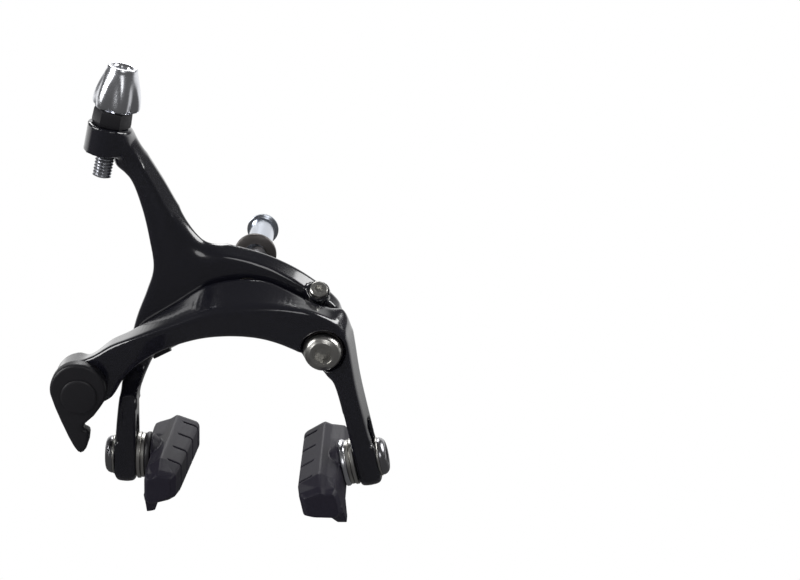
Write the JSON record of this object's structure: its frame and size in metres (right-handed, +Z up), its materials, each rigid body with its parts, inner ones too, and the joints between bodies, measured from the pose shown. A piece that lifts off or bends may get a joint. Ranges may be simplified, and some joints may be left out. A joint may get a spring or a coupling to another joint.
{
  "type": "caliper brake",
  "caption": "Dual pivot side-pull road bicycle brake: two black arms that squeeze rubber pads onto a wheel rim, with release lever and cable adjuster.",
  "frame": {"origin": "on the mounting bolt axis at the bracket seat face, the face that rests on the fork", "axes": "+Y to the rear along the mounting bolt, +X to the right side seen from the front, +Z up"},
  "size_m": [0.1077, 0.1022, 0.141],
  "materials": {
    "black_paint": "gloss black coating on aluminium",
    "black_plastic": "fine matte",
    "rubber": "matte moulded rubber",
    "chrome": "polished",
    "steel": "satin",
    "grey_steel": "dull dark grey"
  },
  "bodies": {
    "base": {"bracket": "black_paint", "mounting_bolt": "chrome", "mount_washer": "grey_steel", "recessed_nut": "chrome", "pivot_nut": "steel", "pivot_washer": "steel", "thrust_washer": "grey_steel", "side_pivot_bolt": "steel", "side_pivot_washer": "grey_steel", "return_spring": "steel", "left_spring_sleeve": "black_plastic", "right_spring_sleeve": "black_plastic"},
    "front_arm": {"c_arm": "black_paint"},
    "rear_arm": {"y_arm": "black_paint"},
    "screw": {"centering_screw": "steel"},
    "barrel": {"adjuster_barrel": "chrome"},
    "ring": {"adjuster_ring": "black_paint"},
    "lever": {"qr_lever": "black_plastic", "qr_cap": "black_plastic"},
    "clamp": {"cable_clamp_bolt": "steel", "cable_clamp_plate": "steel"},
    "left_shoe": {"left_cup_washer": "black_plastic", "left_ball_washer": "steel", "left_plain_washer": "steel", "left_shoe_nut": "chrome"},
    "left_block": {"left_pad": "rubber", "left_shoe_bolt": "steel"},
    "right_shoe": {"right_cup_washer": "black_plastic", "right_ball_washer": "steel", "right_plain_washer": "steel", "right_shoe_nut": "chrome"},
    "right_block": {"right_pad": "rubber", "right_shoe_bolt": "steel"}
  },
  "joints": [
    {"name": "front_arm_pivot", "type": "hinge", "parent": "base", "child": "front_arm", "pos_m": [0.0244, -0.017, -0.0142], "axis": [0, 1, 0], "range_deg": [0, 12], "stiffness_Nm_per_rad": 1.2, "springref_deg": -17.19},
    {"name": "rear_arm_pivot", "type": "hinge", "parent": "base", "child": "rear_arm", "pos_m": [0, -0.008, 0], "axis": [0, 1, 0], "range_deg": [-8.88, 0]},
    {"name": "release_lever", "type": "hinge", "parent": "front_arm", "child": "lever", "pos_m": [-0.0521, -0.02, -0.028], "axis": [0, 1, 0], "range_deg": [0, 90]},
    {"name": "cable_clamp_turn", "type": "hinge", "parent": "lever", "child": "clamp", "pos_m": [-0.0521, -0.016, -0.0292], "axis": [0, 1, 0], "range_deg": [-90, 0]},
    {"name": "barrel_turn", "type": "hinge", "parent": "rear_arm", "child": "barrel", "pos_m": [-0.04225, -0.0127, 0.05395], "axis": [0.1874, 0, 0.9823], "continuous": true},
    {"name": "ring_turn", "type": "hinge", "parent": "rear_arm", "child": "ring", "pos_m": [-0.0415, -0.0127, 0.05788], "axis": [0.1874, 0, 0.9823], "continuous": true},
    {"name": "centering_screw_turn", "type": "hinge", "parent": "rear_arm", "child": "screw", "pos_m": [0.0225, -0.0122, 0.0032], "axis": [0.1507, -0.6027, 0.7836], "continuous": true},
    {"name": "left_shoe_height", "type": "slide", "parent": "rear_arm", "child": "left_shoe", "axis": [0, 0, 1], "range_m": [0, 0.01]},
    {"name": "left_block_turn", "type": "hinge", "parent": "left_shoe", "child": "left_block", "pos_m": [-0.035, -0.0165, -0.053], "axis": [1, 0, 0], "range_deg": [-10, 10]},
    {"name": "right_shoe_height", "type": "slide", "parent": "front_arm", "child": "right_shoe", "axis": [-0.225, 0, 0.9744], "range_m": [0, 0.01]},
    {"name": "right_block_turn", "type": "hinge", "parent": "right_shoe", "child": "right_block", "pos_m": [0.03566, -0.0165, -0.05294], "axis": [0.9744, 0, 0.225], "range_deg": [-10, 10]}
  ],
  "couplings": [
    {"joint": "rear_arm_pivot", "follows": "front_arm_pivot", "ratio": -0.74},
    {"joint": "cable_clamp_turn", "follows": "release_lever", "ratio": -1}
  ]
}
